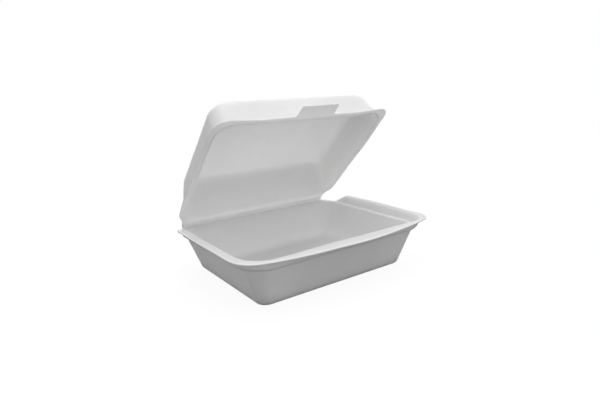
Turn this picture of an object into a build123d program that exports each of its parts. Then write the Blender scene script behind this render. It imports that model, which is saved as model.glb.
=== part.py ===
from build123d import *
import math
import os

os.makedirs("parts", exist_ok=True)

# Foam sheet, pressed thinner in the rims, with its trimmed edges softened
sheet = 2.5
rim_sheet = 1.8
edge_round = 0.8
overrun = 30.0

# Base tub: inside at the ledge, and how far its walls slope in towards the floor
tub_length = 210.0
tub_width = 163.0
tub_corner = 20.0
tub_round = 13.0
side_draft = 16.5
front_draft = 15.5
floor_corner = 12.0
floor_round = 6.0
ledge_height = 45.0

# Base rim: ledge, steep riser and lip with a crescent front
ledge_width = 6.0
ledge_round = 1.5
foot_corner = 31.5
step_round = 1.8
under_round = 2.5
riser_run = 0.5
riser_round = 1.4
lip_rise = 8.3
lip_width = 9.5
lip_corner = 32.0
crescent_width = 16.5
crescent_sag = 18.5
lip_end = 52.0
lip_ramp = 14.0

# Living hinge along the rear, and the flange behind the tub that carries it
hinge_flange = 8.0
hinge_inset = 7.0
hinge_gap = 0.3
flange_side = 8.0

# Lid, measured with its rim level: its rim fits inside the riser
lid_opening = 44.5
lid_clearance = 2.5
lid_front_gap = 0.7
lid_corner = 19.0
lid_flange = 3.6
lid_hinge_flange = 10.0
lid_neck = 12.0
lid_neck_inset = 3.0
lid_neck_round = 5.0
lid_shoulder = 24.0
lid_shoulder_round = 14.0
lid_depth = 36.5
lid_side_draft = 7.3
lid_front_draft = 4.7
lid_rear_draft = 22.3
lid_tray_corner = 22.0
lid_top_corner = 17.0
lid_round = 10.0
lid_inside_round = 13.0
lid_rim_round = 2.0

# Lift tab in the middle of the lid's front edge
tab_reach = 14.5
tab_root = 49.0
tab_tip = 43.0
tab_round = 3.0
tab_foot_round = 5.0


def tapered_block(low_plane, low_sizes, low_middle, high_plane, high_sizes, high_middle):
    # Two rounded rectangles joined by drafted walls
    with BuildPart() as block:
        with BuildSketch(low_plane):
            with Locations((0, low_middle)):
                RectangleRounded(*low_sizes)
        with BuildSketch(high_plane):
            with Locations((0, high_middle)):
                RectangleRounded(*high_sizes)
        loft()
    return block


def flat_face(builder, plane):
    # The part's flat face that lies in the plane
    flats = builder.faces().filter_by(Axis(plane.origin, plane.z_dir))
    return flats.sort_by(lambda face: abs(plane.to_local_coords(face.center()).Z))[0]


def outer_edges(builder, plane):
    return flat_face(builder, plane).outer_wire().edges()


def inner_edges(builder, plane):
    return flat_face(builder, plane).inner_wires()[0].edges()


# Levels of the base
floor_top = Plane.XY.offset(sheet)
ledge_top = Plane.XY.offset(ledge_height)
ledge_under = Plane.XY.offset(ledge_height - sheet)
lip_height = ledge_height + lip_rise
lip_top = Plane.XY.offset(lip_height)
lip_under = Plane.XY.offset(lip_height - rim_sheet)

# Tub, as the solid it fills and the hollow inside it
outer_length = tub_length + 2 * sheet
outer_width = tub_width + 2 * sheet
floor_length = outer_length - 2 * side_draft
floor_width = outer_width - 2 * front_draft
tub_outside = tapered_block(
    Plane.XY, (floor_length, floor_width, floor_corner), 0,
    ledge_top, (outer_length, outer_width, tub_corner + sheet), 0)
with tub_outside:
    fillet(outer_edges(tub_outside, Plane.XY), floor_round)

tub_inside = tapered_block(
    floor_top, (floor_length - 2 * sheet, floor_width - 2 * sheet, floor_corner - sheet), 0,
    ledge_top, (tub_length, tub_width, tub_corner), 0)
with tub_inside:
    fillet(outer_edges(tub_inside, floor_top), tub_round)

# Riser, as the solid it fills and the hollow inside it
foot_length = tub_length + 2 * ledge_width
foot_width = tub_width + 2 * ledge_width
crest_length = foot_length + 2 * riser_run
crest_width = foot_width + 2 * riser_run
crest_corner = foot_corner + riser_run
riser_outside = tapered_block(
    ledge_under, (foot_length + 2 * sheet, foot_width + 2 * sheet, foot_corner + sheet), 0,
    lip_top, (crest_length + 2 * sheet, crest_width + 2 * sheet, crest_corner + sheet), 0)
riser_inside = tapered_block(
    ledge_top, (foot_length, foot_width, foot_corner), 0,
    lip_top, (crest_length, crest_width, crest_corner), 0)

# Lip, a flat plate with a crescent front and softened edges
lip_length = crest_length + 2 * lip_width
side = lip_length / 2
crescent_reach = crest_width / 2 + crescent_width
corner_reach = crescent_reach - crescent_sag
hinge_reach = tub_width / 2 + hinge_flange
rear_reach = hinge_reach + overrun
with BuildPart() as lip:
    with BuildSketch(lip_under) as lip_outline:
        with BuildLine():
            Polyline((-side, -corner_reach), (-side, rear_reach), (side, rear_reach), (side, -corner_reach))
            ThreePointArc((-side, -corner_reach), (0, -crescent_reach), (side, -corner_reach))
        make_face()
        fillet(lip_outline.vertices(), lip_corner)
    extrude(amount=rim_sheet)
    fillet(lip.faces().filter_by(Axis.Z).edges(), edge_round)

# Sheet that is left behind the lip's ends: slanted to the crease at either side
lid_length = foot_length - 2 * lid_clearance
hinge_length = lid_length - 2 * hinge_inset
flange_length = tub_length + 2 * flange_side
crease = hinge_reach - hinge_gap / 2
shoulder = lip_end + lip_ramp
foot_side = foot_length / 2 + sheet
with BuildSketch(ledge_under) as rear_sheet:
    with BuildLine():
        Polyline(
            (-foot_side, lip_end), (-flange_length / 2, shoulder), (-hinge_length / 2, crease),
            (hinge_length / 2, crease), (flange_length / 2, shoulder), (foot_side, lip_end), close=True)
    make_face()

with BuildPart() as base:
    add(tub_outside.part)
    add(riser_outside.part)
    add(lip.part)
    fillet(inner_edges(base, ledge_under), under_round)
    fillet(outer_edges(base, ledge_under), step_round)
    fillet(inner_edges(base, lip_under), riser_round)
    add(tub_inside.part, mode=Mode.SUBTRACT)
    add(riser_inside.part, mode=Mode.SUBTRACT)
    fillet(inner_edges(base, ledge_top), ledge_round)
    fillet(outer_edges(base, ledge_top), riser_round)
    fillet(inner_edges(base, lip_top), riser_round)
    # Lip ends, sloping down to the ledge
    with BuildSketch(Plane.YZ):
        with BuildLine():
            Polyline(
                (lip_end, lip_height), (shoulder, ledge_height), (rear_reach + overrun, ledge_height),
                (rear_reach + overrun, lip_height + overrun), (lip_end, lip_height + overrun), close=True)
        make_face()
    extrude(amount=lip_length, both=True, mode=Mode.SUBTRACT)
    # Rear trim and hinge flange
    with BuildSketch(ledge_under):
        with Locations((0, lip_end)):
            Rectangle(2 * lip_length, 2 * overrun + hinge_reach, align=(Align.CENTER, Align.MIN))
        add(rear_sheet.sketch, mode=Mode.SUBTRACT)
    extrude(amount=sheet + lip_rise + overrun, mode=Mode.SUBTRACT)
    with BuildSketch(ledge_under):
        add(rear_sheet.sketch)
        RectangleRounded(tub_length, tub_width, tub_corner, mode=Mode.SUBTRACT)
    extrude(amount=sheet)

base.part.label = "base"
export_step(base.part, "parts/base.step")

# Lid, in its own plane on the hinge axis
tilt = math.radians(lid_opening)
lid_plane = Plane(
    origin=(0, hinge_reach, ledge_height + hinge_gap / 2), x_dir=(1, 0, 0),
    z_dir=(0, math.sin(tilt), math.cos(tilt)))
rim_under = lid_plane.offset(hinge_gap / 2)
rim_top = rim_under.offset(rim_sheet)
panel_top = rim_under.offset(lid_depth)
panel_under = panel_top.offset(-sheet)

# Lid tray, as the solid it fills and the hollow inside it
lid_reach = hinge_reach + crest_width / 2 - lid_front_gap
tray_front = lid_reach - lid_flange
tray_length = lid_length - 2 * lid_flange
tray_width = tray_front - lid_hinge_flange
tray_middle = -(tray_front + lid_hinge_flange) / 2
panel_length = tray_length - 2 * lid_side_draft
panel_width = tray_width - lid_front_draft - lid_rear_draft
panel_middle = tray_middle + (lid_front_draft - lid_rear_draft) / 2
tray_outside = tapered_block(
    rim_under, (tray_length, tray_width, lid_tray_corner), tray_middle,
    panel_top, (panel_length, panel_width, lid_top_corner), panel_middle)
with tray_outside:
    fillet(outer_edges(tray_outside, panel_top), lid_round)

tray_inside = tapered_block(
    rim_under, (tray_length - 2 * sheet, tray_width - 2 * sheet, lid_tray_corner - sheet), tray_middle,
    panel_under, (panel_length - 2 * sheet, panel_width - 2 * sheet, lid_top_corner - sheet), panel_middle)
with tray_inside:
    fillet(outer_edges(tray_inside, panel_under), lid_inside_round)

# Lid rim with its lift tab, run past the crease so that its edges can be softened
rim_side = lid_length / 2
neck_side = hinge_length / 2 - lid_neck_inset
past_crease = hinge_length / 2 + lid_neck_inset * overrun / lid_neck
tab_end = lid_reach + tab_reach
with BuildPart() as rim:
    with BuildSketch(rim_under) as rim_outline:
        with BuildLine():
            Polyline(
                (-past_crease, overrun), (past_crease, overrun), (neck_side, -lid_neck), (rim_side, -lid_shoulder),
                (rim_side, -lid_reach), (-rim_side, -lid_reach), (-rim_side, -lid_shoulder),
                (-neck_side, -lid_neck), close=True)
        make_face()
        fillet(rim_outline.vertices().group_by(Axis.Y)[2], lid_neck_round)
        fillet(rim_outline.vertices().group_by(Axis.Y)[1], lid_shoulder_round)
        fillet(rim_outline.vertices().group_by(Axis.Y)[0], lid_corner)
        with BuildLine():
            Polyline(
                (-tab_root / 2, -lid_reach), (-tab_tip / 2, -tab_end),
                (tab_tip / 2, -tab_end), (tab_root / 2, -lid_reach), close=True)
        make_face()
        fillet(rim_outline.vertices().group_by(Axis.Y)[0], tab_round)
        front_row = rim_outline.vertices().filter_by(lambda v: math.isclose(v.Y, -lid_reach))
        fillet(front_row.sort_by(lambda v: abs(v.X))[:2], tab_foot_round)
    extrude(amount=rim_sheet)
    fillet(rim.faces().filter_by(Axis(rim_under.origin, rim_under.z_dir)).edges(), edge_round)

with BuildPart() as lid:
    add(rim.part)
    add(tray_outside.part)
    fillet(inner_edges(lid, rim_top), lid_rim_round)
    add(tray_inside.part, mode=Mode.SUBTRACT)
    fillet(inner_edges(lid, rim_under), lid_rim_round)
    # Straight edge along the crease
    with BuildSketch(lid_plane):
        with Locations((0, -hinge_gap / 2)):
            Rectangle(2 * lid_length, 2 * overrun, align=(Align.CENTER, Align.MIN))
    extrude(amount=lid_depth, mode=Mode.SUBTRACT)

lid.part.label = "lid"
export_step(lid.part, "parts/lid.step")
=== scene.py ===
import math

import bpy
import numpy as np
from mathutils import Matrix, Vector


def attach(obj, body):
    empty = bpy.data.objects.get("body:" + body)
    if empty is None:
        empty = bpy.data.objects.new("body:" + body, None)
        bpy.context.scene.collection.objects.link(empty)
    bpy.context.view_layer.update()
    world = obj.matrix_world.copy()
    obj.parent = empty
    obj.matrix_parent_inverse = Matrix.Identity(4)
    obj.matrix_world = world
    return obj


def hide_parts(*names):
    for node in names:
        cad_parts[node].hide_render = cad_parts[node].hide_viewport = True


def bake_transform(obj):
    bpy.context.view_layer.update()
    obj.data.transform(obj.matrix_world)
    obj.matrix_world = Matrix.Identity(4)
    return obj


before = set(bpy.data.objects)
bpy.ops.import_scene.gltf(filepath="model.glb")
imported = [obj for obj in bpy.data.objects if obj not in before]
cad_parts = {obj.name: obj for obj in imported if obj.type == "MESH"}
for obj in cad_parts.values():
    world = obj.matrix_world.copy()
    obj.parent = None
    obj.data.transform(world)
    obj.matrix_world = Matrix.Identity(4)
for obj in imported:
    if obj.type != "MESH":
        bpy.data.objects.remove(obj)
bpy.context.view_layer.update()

print("frame loaded:", sorted(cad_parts))

mm = 0.001
scene = bpy.context.scene
scene.view_settings.view_transform = "Standard"

# Sizes are in millimetres. Three numbers are a ring's half length, half width and corner;
# a value with "left and right" is a pair in that order
sheetValues = {
    "thick": 2.5,              # foam sheet
    "rimThick": 1.8,           # sheet pressed thinner in the rims
    "edgeRound": 0.8,          # softened trimmed edge
    "edgeSteps": 5,
    "creaseThick": 1.3,        # sheet pressed thin beside the crease
    "creaseRun": 3.0,          # how far from the crease the pressing starts
    "creaseFade": 6.0,         # length over which it fades at the crease's ends
    "pole": (3.0, 2.4, 2.2),   # small ring in the middle of floor and panel, closed by a fan
    "sideTurn": 0.999,         # outward share from which a ring step counts as on a straight side
    "leastShare": 0.05,        # least share of its width that a squeezed rim keeps
    "lipPress": 0.28,          # how far the lip's flat is like its cut edge, which lets less light through
    "lidCut": 0.15,            # how far the lid's cut edge is like the base's
}

hingeValues = {
    "reach": 89.5,             # crease, behind the middle of the base
    "height": 45.15,
    "halfLength": 101.5,
    "gap": 0.15,               # crease to either tray's edge
    "opening": 44.5,           # degrees, as the lid is stored
}

baseValues = {
    "floorHalf": (91.0, 68.5, 9.5),      # outside at the floor
    "floorInside": (88.5, 66.0, 8.5),
    "tubHalf": (105.0, 81.5, 20.0),      # inside at the ledge
    "tubOutside": (107.5, 84.0, 20.0),   # outside at the ledge
    "ledgeHeight": 45.0,
    "ledgeWidth": 5.2,
    "ledgeThick": 1.8,
    "rimCorner": 22.5,                   # corner of the ring that ledge, riser and lip run out from
    "riserRun": 1.2,                     # slant of the riser
    "bentRun": 4.8,                      # and at the right, where the lip is bent up
    "bentTurn": 0.7,                     # outward x at which that is reached
    "lipRise": 8.6,
    "lipSide": 121.0,
    "lipFlat": 2.2,                      # start of the lip, part of the inside's path
    "lipRows": (0.25, 0.5, 0.75),        # rows across the rest of the lip, as shares
    "edgeRoom": 1.7,                     # kept free for the edge where the rim is narrow
    "lipCorner": (23.5, 17.0),           # tangent runs of the lip's front corners, left and right
    "arcShare": 0.937,                   # share of that run at which the crescent ends
    "crescentReach": 104.5,
    "cornerReach": 86.0,
    "lipEnd": 52.0,
    "lipRamp": 15.5,
    "rampEase": 0.4,                     # how far the lip's slanted end is eased
    "flangeSide": 110.0,
    "outlineRuns": (1.2, 3.0, 1.5),      # tangent runs at the lip's end, the flange and the crease
    "outlineSteps": (14, 30),            # steps in a corner and along a side
    "rounds": {
        "inside": 22.0, "ledge": 1.5, "riser": 1.6, "crest": 1.9, "step": 2.2, "under": 4.0, "floor": 6.0},
    "insideSteps": (9, (9, 14, 2, 3, 1)),     # steps in each bend, and in each run between them
    "outsideSteps": (8, (1, 3, 2, 14, 9)),
    "steps": {"long": 72, "front": 34, "rear": 26, "corner": 34, "arc": 120, "frontCorner": 24},
    "endRows": (44.0, 44.5),             # behind these the side's rows are finer, for the lip's slanted ends
    "wallBow": 0.5,                      # walls draw in a little between the corners
    "floorCrown": 0.3,                   # floor stands a little proud in the middle
    "crownHalf": (80.0, 60.0),
    "crownTop": 1.5,                     # height above the floor up to which it acts
    "lipWave": 0.3,
    "waves": ((1.0, 3, 0.6), (0.6, 7, 2.1)),   # share, count round the rim and phase
    "waveHeights": (44.0, 8.0),          # where the wave starts, and the run to its full size
    "pressBelow": 0.4,                   # how far under the flange the pressing reaches
}

lidValues = {
    "rimInside": (102.4, 79.1, 19.5),    # inside of the tray at the rim
    "rimOutside": (104.9, 81.6, 22.0),
    "rimMiddle": -91.6,
    "panelInside": (88.5, 61.1, 14.5),
    "panelOutside": (97.6, 63.6, 17.0),
    "panelMiddle": -104.9,
    "depth": 36.0,
    "side": (-109.8, 109.2),             # left and right
    "reach": 176.8,
    "corner": (19.0, 17.0),              # tangent runs of the front corners, left and right
    "shoulder": 24.0,
    "shoulderRun": 6.0,
    "neck": 12.0,                        # narrowest place, between the crease and the shoulder
    "neckSide": (-103.0, 98.8),          # left and right
    "neckRun": 4.5,
    "hingeRun": 0.8,
    "tabRoot": (-21.0, 25.6),            # left and right
    "tabTip": (-20.3, 24.9),             # left and right
    "tabReach": 14.5,
    "tabRound": 2.6,
    "tabFoot": 2.4,
    "rimFlat": 4.0,                      # start of the rim below, part of the inside's path
    "topFlat": 3.4,                      # and above, part of the outside's path
    "leastFlat": 0.1,
    "rimRows": (0.3, 0.65),              # rows across the rest of the rim, as shares
    "edgeRoom": (0.4, 0.3),              # kept free for the edge where the rim is narrow, below and above
    "outlineSteps": (20, 40),            # steps in a corner and along a side
    "rounds": {"inside": 11.0, "outside": 10.0, "rim": 2.0},
    "insideSteps": (10, (10, 12, 1)),    # steps in each bend, and in each run between them
    "outsideSteps": (10, (1, 12, 10)),
    "steps": {"side": 54, "rear": 60, "corner": 34},
    "tabRows": (19.0, 32.0),             # between these the front's rows are fine, for the tab's sides
    "frontSteps": (22, 60, 24, 60, 22),
    "panelBow": 0.8,                     # panel draws in a little in its middle
    "bowHalf": (88.0, 62.0),
    "bowHeights": (33.0, 1.5),           # where the bow starts, and the run to its full size
    "rimWave": 0.25,
    "waves": ((1.0, 4, 1.1), (0.5, 9, 0.4)),   # share, count round the rim and phase
    "waveHeight": 20.0,                  # where the wave ends, up the wall
    "waveReach": (12.0, 40.0),           # where it starts in front of the crease, and the run to its full size
    "cornerLift": 2.2,                   # front corners of the rim curl outwards
    "cornerCurl": {"side": (50.0, 55.0), "reach": (110.0, 60.0), "height": 30.0},   # start and run, and end
    "sideCurl": 3.3,                     # left side of the rim curls outwards
    "leftCurl": {"side": (70.0, 38.0), "reach": (16.0, 45.0), "front": (120.0, 50.0), "height": 34.0},
    "rearCorner": 0.68,                  # rear corners are tighter than the front ones
}


def ringWalk(front, right, rear, left, cornerSteps):
    # Walk round a rounded rectangle: on a side the corner centre slides along its share from -1 to 1,
    # in a corner it stays and the outward angle turns through a quarter
    quarter = math.pi / 2
    turn = np.linspace(0, quarter, cornerSteps + 2)[1:-1]
    whole = np.ones_like
    centreX = np.concatenate([
        front, whole(turn), whole(right), whole(turn), -rear, -whole(turn), -whole(left), -whole(turn)])
    centreY = np.concatenate([
        -whole(front), -whole(turn), right, whole(turn), whole(rear), whole(turn), -left, -whole(turn)])
    angle = np.concatenate([
        0 * front - quarter, turn - quarter, 0 * right, turn, 0 * rear + quarter, turn + quarter,
        0 * left + 2 * quarter, turn + 2 * quarter])
    return {
        "centreX": centreX, "centreY": centreY, "outX": np.cos(angle), "outY": np.sin(angle),
        "cornerShare": np.ones_like(angle)}


def ringPoints(walk, halfX, halfY, corner, middle):
    # Centre share times the half size less the corner, plus the corner along the outward direction
    corner = corner[:, None] * walk["cornerShare"]
    x = walk["centreX"] * (halfX[:, None] - corner) + corner * walk["outX"]
    y = middle[:, None] + walk["centreY"] * (halfY[:, None] - corner) + corner * walk["outY"]
    return x, y


def ringAt(walk, ring):
    # The same for a single ring: half x, half y, corner and middle
    x, y = ringPoints(walk, *np.array(ring)[:, None])
    return x[0], y[0]


def pushedOut(walk, x, y, out, z):
    # Ring points moved out by a distance along their outward direction, at height z
    return np.stack([x + out * walk["outX"], y + out * walk["outY"], z + 0 * x], axis=-1)


def easedProfile(points, rounds, roundSteps, runSteps):
    # Path through the points, each corner eased into an arc: a rational quadratic between its tangent points,
    # weighted by the cosine of half the turn. Columns: half x, half y, corner, middle, out, height
    points = np.array(points, float)
    flat = np.stack([points[:, 0] / 2 + points[:, 1] / 2 + points[:, 4], points[:, 5]], axis=1)
    pieces = []
    last = points[0]
    for i in range(1, len(points)):
        end = points[i]
        if i < len(points) - 1:
            inRun = flat[i] - flat[i - 1]
            outRun = flat[i + 1] - flat[i]
            inLength, outLength = np.linalg.norm(inRun), np.linalg.norm(outRun)
            turn = math.acos(np.clip(inRun @ outRun / inLength / outLength, -1, 1))
            tangent = rounds[i - 1] * math.tan(turn / 2)
            end = points[i] + (points[i - 1] - points[i]) * tangent / inLength
            begin = points[i] + (points[i + 1] - points[i]) * tangent / outLength
        pieces.append(straight(last, end, runSteps[i - 1]))
        if i < len(points) - 1:
            t = np.linspace(0, 1, roundSteps + 1)[:-1, None]
            weight = math.cos(turn / 2)
            a, b, c = (1 - t) ** 2, 2 * weight * t * (1 - t), t ** 2
            pieces.append((a * end + b * points[i] + c * begin) / (a + b + c))
            last = begin
    pieces.append(points[-1:])
    return np.concatenate(pieces)


def straight(start, end, steps):
    # Points from start up to, but not at, the end
    share = np.linspace(0, 1, steps + 1)[:-1, None]
    return np.array(start, float) + (np.array(end, float) - np.array(start, float)) * share


def bend(start, corner, end, steps):
    # Quadratic curve from start to end, drawn towards the corner, without its last point
    t = np.linspace(0, 1, steps + 1)[:-1, None]
    start, corner, end = (np.array(p, float) for p in (start, corner, end))
    return (1 - t) ** 2 * start + 2 * t * (1 - t) * corner + t ** 2 * end


def softOutline(corners, runs, cornerSteps, sideSteps):
    # Closed polygon with each corner drawn into a curve that starts its own run before the corner
    corners = np.array(corners, float)
    before = np.roll(corners, 1, axis=0) - corners
    after = np.roll(corners, -1, axis=0) - corners
    runs = np.array(runs, float)[:, None]
    enter = corners + before / np.linalg.norm(before, axis=1, keepdims=True) * runs
    leave = corners + after / np.linalg.norm(after, axis=1, keepdims=True) * runs
    pieces = []
    for i in range(len(corners)):
        pieces.append(bend(enter[i], corners[i], leave[i], cornerSteps))
        pieces.append(straight(leave[i], enter[(i + 1) % len(corners)], sideSteps))
    return np.concatenate(pieces)


def insetOutline(outline, inset):
    # Each point moves to the inner side, square to the line between its neighbours (anticlockwise outline)
    along = np.roll(outline, -1, axis=0) - np.roll(outline, 1, axis=0)
    along /= np.linalg.norm(along, axis=1, keepdims=True)
    return outline + inset * np.stack([-along[:, 1], along[:, 0]], axis=1)


def widthToOutline(x, y, walk, outline):
    # Distance from each ring point along its outward direction to the outline: the nearest crossing of a ray
    tiny, slack = 1e-9, 1e-6
    edge = np.roll(outline, -1, axis=0) - outline
    outX, outY = walk["outX"][:, None], walk["outY"][:, None]
    toX, toY = outline[None, :, 0] - x[:, None], outline[None, :, 1] - y[:, None]
    cross = outX * edge[None, :, 1] - outY * edge[None, :, 0]
    cross = np.where(np.abs(cross) < tiny, tiny, cross)
    reach = (toX * edge[None, :, 1] - toY * edge[None, :, 0]) / cross
    along = (toX * outY - toY * outX) / cross
    hit = (along >= -slack) & (along <= 1 + slack) & (reach > 0)
    return np.where(hit, reach, np.inf).min(axis=1)


def edgeWidths(x, y, walk, outline, inset):
    # Width to the outline as drawn in by each step of the rounded edge
    return np.stack([widthToOutline(x, y, walk, insetOutline(outline, step)) for step in inset])


def ease(value, start, run):
    # Smooth step: none at the start, one a run further on
    t = np.clip((value - start) / run, 0, 1)
    return t * t * (3 - 2 * t)


def dome(x, y, half):
    # One less the square of the share of the half length, times the same across
    return np.clip(1 - (x / half[0]) ** 2, 0, 1) * np.clip(1 - (y / half[1]) ** 2, 0, 1)


def slowWaves(around, waves):
    # Sum of sines round the rim, each with its own share, count and phase
    return sum(share * np.sin(count * around + phase) for share, count, phase in waves)


def edgeArc(thick):
    # Rounded edge of the sheet from one face to the other: inset and drop at each step
    r = sheetValues["edgeRound"]
    a = np.linspace(0, math.pi / 2, sheetValues["edgeSteps"])
    inset = np.concatenate([r * (1 - np.sin(a)), r * (1 - np.cos(a))])
    drop = np.concatenate([r * (1 - np.cos(a)), thick - r * (1 - np.sin(a))])
    return inset, drop


def pressedShare(x, y, creaseY, halfLength):
    # One at the crease, easing to none at the pressing's run in front of it and past the crease's ends
    fade = sheetValues["creaseFade"]
    near = 1 - ease(creaseY - y, 0, sheetValues["creaseRun"])
    return near * ease(halfLength + fade / 2 - np.abs(x), 0, fade)


def trimMask(inside, rows, edge, outside, flat, cut):
    # Share of the cut edge's look at each station: the edge itself, and the flat rows before and after it
    return np.repeat([0.0, flat, cut, flat, 0.0], [inside, rows, edge, rows, outside])


def sheetMesh(name, grid, trim):
    # Closed skin over a grid of stations by ring steps, with a fan at either end; trim marks the cut edge
    stations, steps = grid.shape[:2]
    index = np.arange(stations * steps).reshape(stations, steps)
    beside = np.roll(index, -1, axis=1)
    quads = np.stack([index[:-1], beside[:-1], beside[1:], index[1:]], axis=-1).reshape(-1, 4)
    firstPole, lastPole = stations * steps, stations * steps + 1
    pole = np.zeros_like(index[0])
    fans = np.concatenate([
        np.stack([pole + firstPole, beside[0], index[0]], axis=-1),
        np.stack([pole + lastPole, index[-1], beside[-1]], axis=-1)])
    verts = np.concatenate([
        grid.reshape(-1, 3), grid[0].mean(axis=0)[None], grid[-1].mean(axis=0)[None]]) * mm
    # Faces turn outwards: the volume under them is positive
    tri = np.concatenate([quads[:, [0, 1, 2]], quads[:, [0, 2, 3]], fans])
    p, q, r = verts[tri[:, 0]], verts[tri[:, 1]], verts[tri[:, 2]]
    if np.einsum("ij,ij->i", p, np.cross(q, r)).sum() < 0:
        quads, fans = quads[:, ::-1], fans[:, ::-1]
    mesh = bpy.data.meshes.new(name)
    mesh.from_pydata(verts.tolist(), [], quads.tolist() + fans.tolist())
    mesh.polygons.foreach_set("use_smooth", np.ones(len(mesh.polygons), bool))
    cut = mesh.attributes.new("trim", "FLOAT", "POINT")
    cut.data.foreach_set("value", np.append(np.repeat(trim, steps), [0.0, 0.0]).astype(np.float32))
    mesh.update()
    piece = bpy.data.objects.new(name, mesh)
    scene.collection.objects.link(piece)
    return piece


def buildBase(v):
    thick, rim = sheetValues["thick"], sheetValues["rimThick"]
    pole, least = sheetValues["pole"], sheetValues["leastShare"]
    ledge, lipTop = v["ledgeHeight"], v["ledgeHeight"] + v["lipRise"]
    tub, rounds, steps = v["tubHalf"], v["rounds"], v["steps"]
    foot, crest = v["ledgeWidth"], v["ledgeWidth"] + v["riserRun"]
    straightY = tub[1] - tub[2]
    sideY = np.concatenate([
        np.linspace(-straightY, v["endRows"][0], steps["front"]),
        np.linspace(v["endRows"][1], straightY, steps["rear"])]) / straightY
    longX = np.linspace(-1, 1, steps["long"])
    walk = ringWalk(longX, sideY, longX, -sideY[::-1], steps["corner"])

    # Plan outline: crescent front, straight sides, slanted rear ends and the crease
    side, corners = v["lipSide"], np.array(v["lipCorner"])
    arcEnds = side - corners * v["arcShare"]
    sag = v["crescentReach"] - v["cornerReach"]
    radius = (side ** 2 + sag ** 2) / 2 / sag
    arcX = np.linspace(-arcEnds[0], arcEnds[1], steps["arc"])
    arc = np.stack([arcX, radius - v["crescentReach"] - np.sqrt(radius ** 2 - arcX ** 2)], axis=1)
    cornerPoint, sideStart = -v["cornerReach"], corners - v["cornerReach"]
    crease, half = hingeValues["reach"] - hingeValues["gap"], hingeValues["halfLength"]
    lipEnd, flange, shoulder = v["lipEnd"], v["flangeSide"], v["lipEnd"] + v["lipRamp"]
    endRun, flangeRun, hingeRun = v["outlineRuns"]
    cornerSteps, sideSteps = v["outlineSteps"]
    rearHalf = softOutline([
        (side, sideStart[1]), (side, lipEnd), (flange, shoulder), (half, crease),
        (-half, crease), (-flange, shoulder), (-side, lipEnd), (-side, sideStart[0])],
        [0, endRun, flangeRun, hingeRun, hingeRun, flangeRun, endRun, 0], cornerSteps, sideSteps)
    # The ends, which have no curve, and the side that closes the polygon give way to the front
    rearHalf = rearHalf[cornerSteps:-(cornerSteps + sideSteps)]
    outline = np.concatenate([
        arc[:-1], bend(arc[-1], (side, cornerPoint), (side, sideStart[1]), steps["frontCorner"]), rearHalf,
        bend((-side, sideStart[0]), (-side, cornerPoint), arc[0], steps["frontCorner"])])

    ring = np.array([tub[0], tub[1], v["rimCorner"], 0.0])
    ringX, ringY = ringAt(walk, ring)
    fullWidth = widthToOutline(ringX, ringY, walk, outline)
    # Riser slant: its run grows from the front to the right
    stretch = 1 + (v["bentRun"] / v["riserRun"] - 1) * ease(walk["outX"], 0, v["bentTurn"])

    def slanted(out):
        # Distance out, with the riser's part of it stretched
        riser = np.clip(out - foot, 0, v["riserRun"]) * stretch
        return np.minimum(out, foot) + riser + np.maximum(out - crest, 0)

    # Where the rim is narrow, ledge, riser and lip share what there is
    lipStart, underLip = slanted(crest + v["lipFlat"]), slanted(crest + rounds["riser"]) + thick
    room = fullWidth - v["edgeRoom"]
    innerShare, underShare = np.clip(room / lipStart, least, 1), np.clip(room / underLip, least, 1)
    # Lip's height share: down along the slanted ends, partly eased
    crestY = ringY + slanted(crest) * walk["outY"]
    ramp = np.clip((crestY - lipEnd) / v["lipRamp"], 0, 1)
    rise = 1 - ((1 - v["rampEase"]) * ramp + v["rampEase"] * ease(ramp, 0, 1))

    # Inside, from the middle of the floor up to the start of the lip
    inside = easedProfile([
        (*pole, 0, 0, thick), (*v["floorInside"], 0, 0, thick), (*tub, 0, 0, ledge),
        (*ring, foot, ledge), (*ring, crest, lipTop), (*ring, crest + v["lipFlat"], lipTop)],
        [rounds[k] for k in ("inside", "ledge", "riser", "crest")], *v["insideSteps"])
    x, y = ringPoints(walk, *inside[:, :4].T)
    out, height = slanted(inside[:, 4:5]) * innerShare, inside[:, 5:6]
    z = np.minimum(height, ledge) + np.maximum(height - ledge, 0) * rise
    insideGrid = pushedOut(walk, x, y, out, z)

    # Lip top, rounded edge and lip underside
    top = ledge + v["lipRise"] * rise
    inset, drop = edgeArc(rim)
    outEdge = edgeWidths(ringX, ringY, walk, outline, inset)
    flatWidth = outEdge[0]
    rows = np.array(v["lipRows"])[:, None]
    start, underStart = lipStart * innerShare, underLip * underShare
    outTop = start + rows * (flatWidth - start)
    outUnder = underStart + rows[::-1] * (flatWidth - underStart)
    level = np.zeros(len(rows))
    fall = np.concatenate([level, drop, level + rim])[:, None]
    lipGrid = pushedOut(walk, ringX, ringY, np.concatenate([outTop, outEdge, outUnder]), top - fall)

    # Outside, from under the lip down the riser and the wall to the middle of the floor
    low = ledge - v["ledgeThick"]
    floorHalf, tubOutside = np.array(v["floorHalf"]), np.array(v["tubOutside"])
    wallUnder = floorHalf + (tubOutside - floorHalf) * low / ledge
    outside = easedProfile([
        (*ring, crest + thick + rounds["riser"], lipTop - rim), (*ring, crest + thick, lipTop - rim),
        (*ring, foot + thick, low), (*wallUnder, 0, 0, low), (*floorHalf, 0, 0, 0), (*pole, 0, 0, 0)],
        [rounds[k] for k in ("riser", "step", "under", "floor")], *v["outsideSteps"])
    x, y = ringPoints(walk, *outside[:, :4].T)
    out, height = (slanted(outside[:, 4:5] - thick) + thick) * underShare, outside[:, 5:6]
    underRise = (top - rim - low) / (lipTop - rim - low)
    z = np.minimum(height, low) + np.maximum(height - low, 0) * underRise
    outsideGrid = pushedOut(walk, x, y, out, z)

    grid = np.concatenate([insideGrid, lipGrid, outsideGrid])
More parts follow.
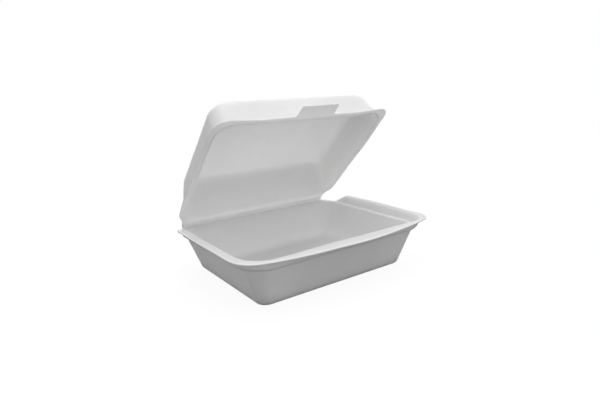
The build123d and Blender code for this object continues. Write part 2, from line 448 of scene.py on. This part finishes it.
    # Walls bow in: half a sine up the wall times one less the square of the share along the side
    outX, outY = np.abs(walk["outX"]), np.abs(walk["outY"])
    alongSide = np.where(outX > outY, walk["centreY"], walk["centreX"])
    onSide = np.maximum(outX, outY) > sheetValues["sideTurn"]
    bow = v["wallBow"] * np.where(onSide, 1 - alongSide ** 2, 0)
    drawn = np.sin(np.clip(grid[..., 2] / ledge, 0, 1) * math.pi) * bow
    grid[..., 0] -= drawn * walk["outX"]
    grid[..., 1] -= drawn * walk["outY"]
    # Floor crown: a dome that falls to nothing at the wall, on the inside face alone
    crown = dome(grid[..., 0], grid[..., 1], v["crownHalf"])
    onFloor = np.zeros(len(grid))
    onFloor[:len(insideGrid)] = 1
    grid[..., 2] += v["floorCrown"] * crown * onFloor[:, None] * (grid[..., 2] < thick + v["crownTop"])
    # Lip wave: two slow sines round the rim, fading out at the ledge and the crease
    wave = v["lipWave"] * slowWaves(np.arctan2(ringY, ringX), v["waves"])
    grid[..., 2] += wave * ease(grid[..., 2], *v["waveHeights"]) * rise
    # Sheet pressed thin beside the crease, from below
    pressed = pressedShare(grid[..., 0], grid[..., 1], crease, half)
    depth = np.clip((ledge - grid[..., 2]) / rim, 0, 1) * (grid[..., 2] > low - v["pressBelow"])
    grid[..., 2] += (rim - sheetValues["creaseThick"]) * pressed * depth
    trim = trimMask(len(insideGrid), len(rows), len(inset), len(outsideGrid), sheetValues["lipPress"], 1.0)
    return sheetMesh("baseTray", grid, trim)


def lidToRow(grid):
    # Lid's own x, y and depth turned by the opening about the crease
    t = math.radians(hingeValues["opening"])
    y = hingeValues["reach"] + grid[..., 1] * math.cos(t) + grid[..., 2] * math.sin(t)
    z = hingeValues["height"] - grid[..., 1] * math.sin(t) + grid[..., 2] * math.cos(t)
    return np.stack([grid[..., 0], y, z], axis=-1)


def buildLid(v):
    thick, rimThick, gap = sheetValues["thick"], sheetValues["rimThick"], hingeValues["gap"]
    panelMiddle, depth, rounds, steps = v["panelMiddle"], v["depth"], v["rounds"], v["steps"]
    pole, least = (*sheetValues["pole"], panelMiddle), sheetValues["leastShare"]
    rim = (*v["rimInside"], v["rimMiddle"])
    straightX = rim[0] - rim[2]
    fineFrom, fineTo = v["tabRows"]
    marks = [-straightX, -fineTo, -fineFrom, fineFrom, fineTo, straightX]
    parts = [np.linspace(a, b, n)[:-1] for a, b, n in zip(marks, marks[1:], v["frontSteps"])]
    frontX = np.concatenate([*parts, marks[-1:]]) / straightX
    sideY = np.linspace(-1, 1, steps["side"])
    walk = ringWalk(frontX, sideY, np.linspace(-1, 1, steps["rear"]), sideY, steps["corner"])
    walk["cornerShare"] = 1 - (1 - v["rearCorner"]) * ease(walk["centreY"], -1, 2)

    # Rim outline with its slanted rear ends and the lift tab
    root, tip, end = v["tabRoot"], v["tabTip"], v["reach"] + v["tabReach"]
    side, reach, corner = v["side"], v["reach"], v["corner"]
    half, neckSide = hingeValues["halfLength"], v["neckSide"]
    outline = softOutline([
        (root[0], -reach), (tip[0], -end), (tip[1], -end), (root[1], -reach), (side[1], -reach),
        (side[1], -v["shoulder"]), (neckSide[1], -v["neck"]), (half, -gap), (-half, -gap),
        (neckSide[0], -v["neck"]), (side[0], -v["shoulder"]), (side[0], -reach)],
        [v["tabFoot"], v["tabRound"], v["tabRound"], v["tabFoot"], corner[1],
         v["shoulderRun"], v["neckRun"], v["hingeRun"], v["hingeRun"],
         v["neckRun"], v["shoulderRun"], corner[0]], *v["outlineSteps"])
    ringX, ringY = ringAt(walk, rim)
    inset, drop = edgeArc(rimThick)
    outEdge = edgeWidths(ringX, ringY, walk, outline, inset)
    flatWidth = outEdge[0]

    # Inside, from the middle of the panel down to the rim
    inside = easedProfile([
        (*pole, 0, depth - thick), (*v["panelInside"], panelMiddle, 0, depth - thick),
        (*rim, 0, 0), (*rim, v["rimFlat"], 0)],
        [rounds["inside"], rounds["rim"]], *v["insideSteps"])
    x, y = ringPoints(walk, *inside[:, :4].T)
    share = np.clip((flatWidth - v["edgeRoom"][0]) / v["rimFlat"], least, 1)
    insideGrid = pushedOut(walk, x, y, inside[:, 4:5] * share, inside[:, 5:6])

    # Rim underside, rounded edge and rim top
    rows = np.array(v["rimRows"])[:, None]
    start = v["rimFlat"] * share
    outFlat = start + rows * (flatWidth - start)
    rimOutside = np.array((*v["rimOutside"], v["rimMiddle"]))
    panelOutside = np.array((*v["panelOutside"], panelMiddle))
    above = rimOutside + (panelOutside - rimOutside) * rimThick / depth
    aboveX, aboveY = ringAt(walk, above)
    aboveOut = (aboveX - ringX) * walk["outX"] + (aboveY - ringY) * walk["outY"]
    topRoom = flatWidth - aboveOut - v["edgeRoom"][1]
    topStart = aboveOut + np.clip(topRoom, v["leastFlat"], v["topFlat"])
    outTop = topStart + rows[::-1] * (flatWidth - topStart)
    level = np.zeros(len(rows))
    climb = np.concatenate([level, drop, level + rimThick])[:, None]
    rimGrid = pushedOut(walk, ringX, ringY, np.concatenate([outFlat, outEdge, outTop]), climb)

    # Outside, from the rim top up the wall to the middle of the panel
    outside = easedProfile([
        (*above, v["topFlat"], rimThick), (*above, 0, rimThick),
        (*panelOutside, 0, depth), (*pole, 0, depth)],
        [rounds["rim"], rounds["outside"]], *v["outsideSteps"])
    x, y = ringPoints(walk, *outside[:, :4].T)
    out = outside[:, 4:5] * np.clip(topRoom / v["topFlat"], least, 1)
    outsideGrid = pushedOut(walk, x, y, out, outside[:, 5:6])

    grid = np.concatenate([insideGrid, rimGrid, outsideGrid])
    # Panel bow: a shallow dish that falls to nothing at the panel's edge
    dish = dome(grid[..., 0], grid[..., 1] - panelMiddle, v["bowHalf"])
    grid[..., 2] -= v["panelBow"] * dish * ease(grid[..., 2], *v["bowHeights"])
    # Rim wave: two slow sines round the rim, none at the crease
    wave = v["rimWave"] * slowWaves(np.arctan2(ringY - v["rimMiddle"], ringX), v["waves"])
    low = 1 - ease(grid[..., 2], 0, v["waveHeight"])
    grid[..., 2] += wave * low * ease(-grid[..., 1], *v["waveReach"])
    # Corner curl: the rim's front corners lift, easing out towards the middle, the hinge and the panel
    at = v["cornerCurl"]
    curl = ease(np.abs(grid[..., 0]), *at["side"]) * ease(-grid[..., 1], *at["reach"])
    grid[..., 2] += v["cornerLift"] * curl * (1 - ease(grid[..., 2], 0, at["height"]))
    # Side curl: the same along the left side, easing out towards the hinge and the front
    at = v["leftCurl"]
    curl = ease(-grid[..., 0], *at["side"]) * ease(-grid[..., 1], *at["reach"])
    curl *= 1 - ease(-grid[..., 1], *at["front"])
    grid[..., 2] += v["sideCurl"] * curl * (1 - ease(grid[..., 2], 0, at["height"]))
    # Sheet pressed thin beside the crease, from outside
    pressed = pressedShare(grid[..., 0], grid[..., 1], -gap, half)
    thinner = (rimThick - sheetValues["creaseThick"]) * pressed
    grid[..., 2] -= thinner * np.clip(grid[..., 2] / rimThick, 0, 1)
    grid[..., 2] += gap
    trim = trimMask(len(insideGrid), len(rows), len(inset), len(outsideGrid), 0.0, sheetValues["lidCut"])
    return sheetMesh("lidTray", lidToRow(grid), trim)


creaseValues = {
    "thick": 0.6,      # crushed web that joins the two trays
    "radius": 0.5,     # of its middle about the crease
    "tail": 2.4,       # how far it runs into either tray
    "fill": 4.5,       # how far its inner corner reaches along either face
    "sink": 0.04,      # how far its inner edges stand off the faces
    "dip": 0.5,        # past there it dips into the sheet
    "endInset": 1.2,
    "steps": 180,
    "arcSteps": 22,
    "tailSteps": 6,
    "fillSteps": 12,
}


def buildCrease(v):
    # Profile carried along x: outside, a tail in the base's sheet, an arc about the crease through the bend
    # and a tail in the lid's sheet, all half a thickness past the web's middle
    t = math.radians(hingeValues["opening"])
    angle = np.linspace(-math.pi / 2, math.pi / 2 - t, v["arcSteps"])
    tail = np.linspace(v["tail"], 0, v["tailSteps"])[:-1]
    back = tail[::-1]
    radius = v["radius"] + v["thick"] / 2
    baseTail = np.stack([-tail, 0 * tail - radius], axis=1)
    arc = radius * np.stack([np.cos(angle), np.sin(angle)], axis=1)
    lidTail = arc[-1] + np.stack([-math.cos(t) * back, math.sin(t) * back], axis=1)

    # Inner line: a quadratic curve from the lid's face to the base's, drawn towards the crease
    fill, face, dip = v["fill"], hingeValues["gap"] - v["sink"], v["dip"]
    onLid = (-fill * math.cos(t) + face * math.sin(t), fill * math.sin(t) + face * math.cos(t))
    inner = bend(onLid, (0, 0), (-fill, -face), v["fillSteps"])
    under = fill + dip
    lidEnd = (-under * math.cos(t) + dip * math.sin(t), under * math.sin(t) + dip * math.cos(t))
    loop = np.concatenate([baseTail, arc, lidTail, [lidEnd], inner, [(-fill, -face), (-under, -dip)]])
    length = hingeValues["halfLength"] - v["endInset"]
    x = np.linspace(-length, length, v["steps"])[:, None]
    y = hingeValues["reach"] + loop[None, :, 0] + 0 * x
    z = hingeValues["height"] + loop[None, :, 1] + 0 * x
    grid = np.stack([x + 0 * y, y, z], axis=-1)
    return sheetMesh("creaseWeb", grid, np.zeros(v["steps"]))


baseTray = buildBase(baseValues)
print("base tray:", len(baseTray.data.polygons), "faces")
lidTray = buildLid(lidValues)
print("lid tray:", len(lidTray.data.polygons), "faces")
creaseWeb = buildCrease(creaseValues)
print("crease web:", len(creaseWeb.data.polygons), "faces")


# Foam finish: colours are linear, cells, mottle and streak are features per metre
foamValues = {
    "tint": (0.95, 0.95, 0.945),
    "cutTint": (0.97, 0.97, 0.965),
    "cells": 1150.0,
    "mottle": 46.0,
    "mottleDetail": 3.0,
    "mottleRange": (0.955, 1.045),       # of brightness
    "streak": 150.0,
    "streakDetail": 2.0,
    "streakStretch": (0.12, 1.0, 1.0),   # drawn out along x
    "streakRange": (0.98, 1.02),
    "roughness": 0.46,
    "glossSpread": 0.16,                 # added where the mottling is bright
    "cutRoughness": 0.25,                # added at the cut edge
    "specular": 0.3,
    "pitDepth": -0.7,                    # cells against the streaks, in the bump's height
    "bump": 0.12,
    "bumpDistance": 0.00012,             # metres
    "glowWeight": 1.0,                   # light that passes into the sheet
    "cutGlowLoss": 0.7,                  # share of it that the cut edge loses
    "glowDepth": 0.009,                  # metres
}


def addNode(tree, kind, place, **values):
    node = tree.nodes.new(kind)
    node.location = place
    for key, value in values.items():
        setattr(node, key, value)
    return node


def foamSkinGroup(v):
    # Colour: tint times slow mottling and faint stretched streaks; roughness: plus a share of the mottling;
    # height: streaks less small closed cells
    group = bpy.data.node_groups.new("foamSkin", "ShaderNodeTree")
    for name, way, kind in (
            ("Position", "INPUT", "Vector"), ("Tint", "INPUT", "Color"), ("Cells", "INPUT", "Float"),
            ("Mottle", "INPUT", "Float"), ("Streak", "INPUT", "Float"), ("Roughness", "INPUT", "Float"),
            ("Color", "OUTPUT", "Color"), ("Roughness", "OUTPUT", "Float"), ("Height", "OUTPUT", "Float")):
        group.interface.new_socket(name, in_out=way, socket_type="NodeSocket" + kind)
    link = group.links.new
    given = addNode(group, "NodeGroupInput", (-900, 0))
    result = addNode(group, "NodeGroupOutput", (700, 0))

    mottle = addNode(group, "ShaderNodeTexNoise", (-600, 200))
    mottle.inputs["Detail"].default_value = v["mottleDetail"]
    link(given.outputs["Position"], mottle.inputs["Vector"])
    link(given.outputs["Mottle"], mottle.inputs["Scale"])
    stretch = addNode(group, "ShaderNodeMapping", (-760, -60))
    stretch.inputs["Scale"].default_value = v["streakStretch"]
    link(given.outputs["Position"], stretch.inputs["Vector"])
    streak = addNode(group, "ShaderNodeTexNoise", (-600, -60))
    streak.inputs["Detail"].default_value = v["streakDetail"]
    link(stretch.outputs["Vector"], streak.inputs["Vector"])
    link(given.outputs["Streak"], streak.inputs["Scale"])
    cells = addNode(group, "ShaderNodeTexVoronoi", (-600, -320), feature="SMOOTH_F1")
    link(given.outputs["Position"], cells.inputs["Vector"])
    link(given.outputs["Cells"], cells.inputs["Scale"])

    both = addNode(group, "ShaderNodeMath", (-180, 120), operation="MULTIPLY")
    for i, (noise, limits, place) in enumerate((
            (mottle, v["mottleRange"], (-380, 200)), (streak, v["streakRange"], (-380, -60)))):
        shade = addNode(group, "ShaderNodeMapRange", place)
        shade.inputs["To Min"].default_value, shade.inputs["To Max"].default_value = limits
        link(noise.outputs["Fac"], shade.inputs["Value"])
        link(shade.outputs["Result"], both.inputs[i])
    colour = addNode(group, "ShaderNodeVectorMath", (40, 160), operation="SCALE")
    link(given.outputs["Tint"], colour.inputs[0])
    link(both.outputs["Value"], colour.inputs["Scale"])
    link(colour.outputs["Vector"], result.inputs["Color"])

    gloss = addNode(group, "ShaderNodeMath", (-180, -80), operation="MULTIPLY_ADD")
    gloss.inputs[1].default_value = v["glossSpread"]
    link(mottle.outputs["Fac"], gloss.inputs[0])
    link(given.outputs["Roughness"], gloss.inputs[2])
    link(gloss.outputs["Value"], result.inputs["Roughness"])

    pits = addNode(group, "ShaderNodeMath", (-180, -320), operation="MULTIPLY_ADD")
    pits.inputs[1].default_value = v["pitDepth"]
    link(cells.outputs["Distance"], pits.inputs[0])
    link(streak.outputs["Fac"], pits.inputs[2])
    link(pits.outputs["Value"], result.inputs["Height"])
    return group


def foamMaterial(name, v, group, glowWeight):
    material = bpy.data.materials.new(name)
    material.use_nodes = True
    tree = material.node_tree
    link = tree.links.new
    shader = tree.nodes["Principled BSDF"]
    place = addNode(tree, "ShaderNodeTexCoord", (-1000, 0))
    skin = addNode(tree, "ShaderNodeGroup", (-760, 0), node_tree=group)
    link(place.outputs["Object"], skin.inputs["Position"])
    skin.inputs["Tint"].default_value = (*v["tint"], 1)
    for key in ("Cells", "Mottle", "Streak", "Roughness"):
        skin.inputs[key].default_value = v[key.lower()]
    # Cut edge: paler and rougher than the skin
    edge = addNode(tree, "ShaderNodeAttribute", (-760, 320), attribute_name="trim")
    colour = addNode(tree, "ShaderNodeMix", (-480, 240), data_type="RGBA")
    link(edge.outputs["Fac"], colour.inputs["Factor"])
    link(skin.outputs["Color"], colour.inputs["A"])
    colour.inputs["B"].default_value = (*v["cutTint"], 1)
    link(colour.outputs["Result"], shader.inputs["Base Color"])
    rough = addNode(tree, "ShaderNodeMath", (-480, 0), operation="MULTIPLY_ADD")
    rough.inputs[1].default_value = v["cutRoughness"]
    link(edge.outputs["Fac"], rough.inputs[0])
    link(skin.outputs["Roughness"], rough.inputs[2])
    link(rough.outputs["Value"], shader.inputs["Roughness"])
    bump = addNode(tree, "ShaderNodeBump", (-480, -220))
    bump.inputs["Strength"].default_value = v["bump"]
    bump.inputs["Distance"].default_value = v["bumpDistance"]
    link(skin.outputs["Height"], bump.inputs["Height"])
    link(bump.outputs["Normal"], shader.inputs["Normal"])
    shader.inputs["Specular IOR Level"].default_value = v["specular"]
    # Cut edge and pressed lip let less light through: weight times one less a share of the mask
    shader.inputs["Subsurface Weight"].default_value = glowWeight
    if glowWeight > 0:
        glow = addNode(tree, "ShaderNodeMath", (-480, -420), operation="MULTIPLY_ADD")
        glow.inputs[1].default_value = -glowWeight * v["cutGlowLoss"]
        glow.inputs[2].default_value = glowWeight
        link(edge.outputs["Fac"], glow.inputs[0])
        link(glow.outputs["Value"], shader.inputs["Subsurface Weight"])
    shader.inputs["Subsurface Radius"].default_value = (1.0, 1.0, 1.0)
    shader.inputs["Subsurface Scale"].default_value = v["glowDepth"]
    return material


foamSkin = foamSkinGroup(foamValues)
foamSatin = foamMaterial("foamSatin", foamValues, foamSkin, foamValues["glowWeight"])
# The crushed web lets no light through
foamCrushed = foamMaterial("foamCrushed", foamValues, foamSkin, 0.0)
for piece, material in ((baseTray, foamSatin), (lidTray, foamSatin), (creaseWeb, foamCrushed)):
    piece.data.materials.append(material)
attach(baseTray, "base")
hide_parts("base")
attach(lidTray, "lid")
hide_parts("lid")
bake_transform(creaseWeb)
print("foam finish placed")


# Stage: pale floor, white surroundings, soft light from above
stageValues = {
    "floorSize": 8.0,                  # metres
    "floorColour": (0.1, 0.1, 0.1),    # what the floor gives back of the light
    "floorLift": 0.92,                 # added for the camera, up to white
    "skyColour": (1.0, 1.0, 1.0),
    "skyStrength": 0.64,
    "skyLean": 0.4,                    # gain to the right and loss to the left, at the horizon
    "skyLeanTop": 0.7,                 # height at which that is gone
    "keyPower": 1.2,
    "keySpread": 80.0,                 # degrees across
    "keyFrom": (0.05, -0.10, 0.99),
}


def backgroundRays(tree, place):
    # One for rays that show the background itself: camera, glossy and transmission rays
    link = tree.links.new
    seen = addNode(tree, "ShaderNodeLightPath", place)
    mirror = addNode(tree, "ShaderNodeMath", (place[0] + 200, place[1]), operation="MAXIMUM")
    clear = addNode(tree, "ShaderNodeMath", (place[0] + 360, place[1]), operation="MAXIMUM")
    link(seen.outputs["Is Camera Ray"], mirror.inputs[0])
    link(seen.outputs["Is Glossy Ray"], mirror.inputs[1])
    link(mirror.outputs["Value"], clear.inputs[0])
    link(seen.outputs["Is Transmission Ray"], clear.inputs[1])
    return clear.outputs["Value"]


def buildFloor(v):
    # One flat square, lifted to white for the camera where nothing shades it
    s = v["floorSize"] / 2
    mesh = bpy.data.meshes.new("floor")
    mesh.from_pydata([(-s, -s, 0), (s, -s, 0), (s, s, 0), (-s, s, 0)], [], [(0, 1, 2, 3)])
    floor = bpy.data.objects.new("floor", mesh)
    scene.collection.objects.link(floor)
    material = bpy.data.materials.new("floorPale")
    material.use_nodes = True
    tree = material.node_tree
    tree.nodes.clear()
    link = tree.links.new
    output = addNode(tree, "ShaderNodeOutputMaterial", (500, 0))
    plain = addNode(tree, "ShaderNodeBsdfDiffuse", (0, 100))
    plain.inputs["Color"].default_value = (*v["floorColour"], 1)
    glow = addNode(tree, "ShaderNodeEmission", (0, -100))
    strength = addNode(tree, "ShaderNodeMath", (-200, -100), operation="MULTIPLY")
    strength.inputs[1].default_value = v["floorLift"]
    link(backgroundRays(tree, (-760, -100)), strength.inputs[0])
    link(strength.outputs["Value"], glow.inputs["Strength"])
    both = addNode(tree, "ShaderNodeAddShader", (250, 0))
    link(plain.outputs["BSDF"], both.inputs[0])
    link(glow.outputs["Emission"], both.inputs[1])
    link(both.outputs["Shader"], output.inputs["Surface"])
    mesh.materials.append(material)


def buildSky(v):
    # White sky: strength times one plus the lean times rightwards, easing out with height; 1 to the camera
    world = bpy.data.worlds.new("studio")
    scene.world = world
    world.use_nodes = True
    tree = world.node_tree
    link = tree.links.new
    back = tree.nodes["Background"]
    back.inputs["Color"].default_value = (*v["skyColour"], 1)
    way = addNode(tree, "ShaderNodeTexCoord", (-1100, -300))
    axes = addNode(tree, "ShaderNodeSeparateXYZ", (-940, -300))
    link(way.outputs["Generated"], axes.inputs[0])
    low = addNode(tree, "ShaderNodeMapRange", (-780, -300), interpolation_type="SMOOTHSTEP")
    low.inputs["From Max"].default_value = v["skyLeanTop"]
    low.inputs["To Min"].default_value = v["skyLean"] * v["skyStrength"]
    low.inputs["To Max"].default_value = 0.0
    link(axes.outputs["Z"], low.inputs["Value"])
    lean = addNode(tree, "ShaderNodeMath", (-500, -300), operation="MULTIPLY_ADD")
    lean.inputs[2].default_value = v["skyStrength"]
    link(low.outputs["Result"], lean.inputs[0])
    link(axes.outputs["X"], lean.inputs[1])
    level = addNode(tree, "ShaderNodeMapRange", (-180, 0))
    link(lean.outputs["Value"], level.inputs["To Min"])
    level.inputs["To Max"].default_value = 1.0
    link(backgroundRays(tree, (-700, 0)), level.inputs["Value"])
    link(level.outputs["Result"], back.inputs["Strength"])


def buildKey(v):
    light = bpy.data.lights.new("overheadSoft", "SUN")
    light.energy = v["keyPower"]
    light.angle = math.radians(v["keySpread"])
    lamp = bpy.data.objects.new("overheadSoft", light)
    lamp.rotation_euler = Vector(v["keyFrom"]).to_track_quat("Z", "Y").to_euler()
    scene.collection.objects.link(lamp)


buildFloor(stageValues)
buildSky(stageValues)
buildKey(stageValues)
print("stage set")

# Camera fitted to the photograph: place in millimetres, turns in degrees, lens and sensor in millimetres
cameraValues = {
    "place": (-290.45, -420.65, 197.46),
    "yaw": 34.98,
    "pitch": 13.36,
    "roll": -2.12,
    "lens": 28.423,
    "sensor": 36.0,
    "nearest": 0.01,   # metres
}


def buildCamera(v):
    yaw, pitch, roll = (math.radians(v[k]) for k in ("yaw", "pitch", "roll"))
    ahead = np.array([math.sin(yaw) * math.cos(pitch), math.cos(yaw) * math.cos(pitch), -math.sin(pitch)])
    level = np.array([math.cos(yaw), -math.sin(yaw), 0.0])
    upright = np.cross(level, ahead)
    right = math.cos(roll) * level + math.sin(roll) * upright
    up = -math.sin(roll) * level + math.cos(roll) * upright
    data = bpy.data.cameras.new("photoView")
    data.lens = v["lens"]
    data.sensor_width = v["sensor"]
    data.clip_start = v["nearest"]
    camera = bpy.data.objects.new("photoView", data)
    pose = np.eye(4)
    pose[:3] = np.stack([right, up, -ahead, np.array(v["place"]) * mm], axis=1)
    camera.matrix_world = Matrix(pose.tolist())
    scene.collection.objects.link(camera)
    scene.camera = camera


buildCamera(cameraValues)
print("camera set")
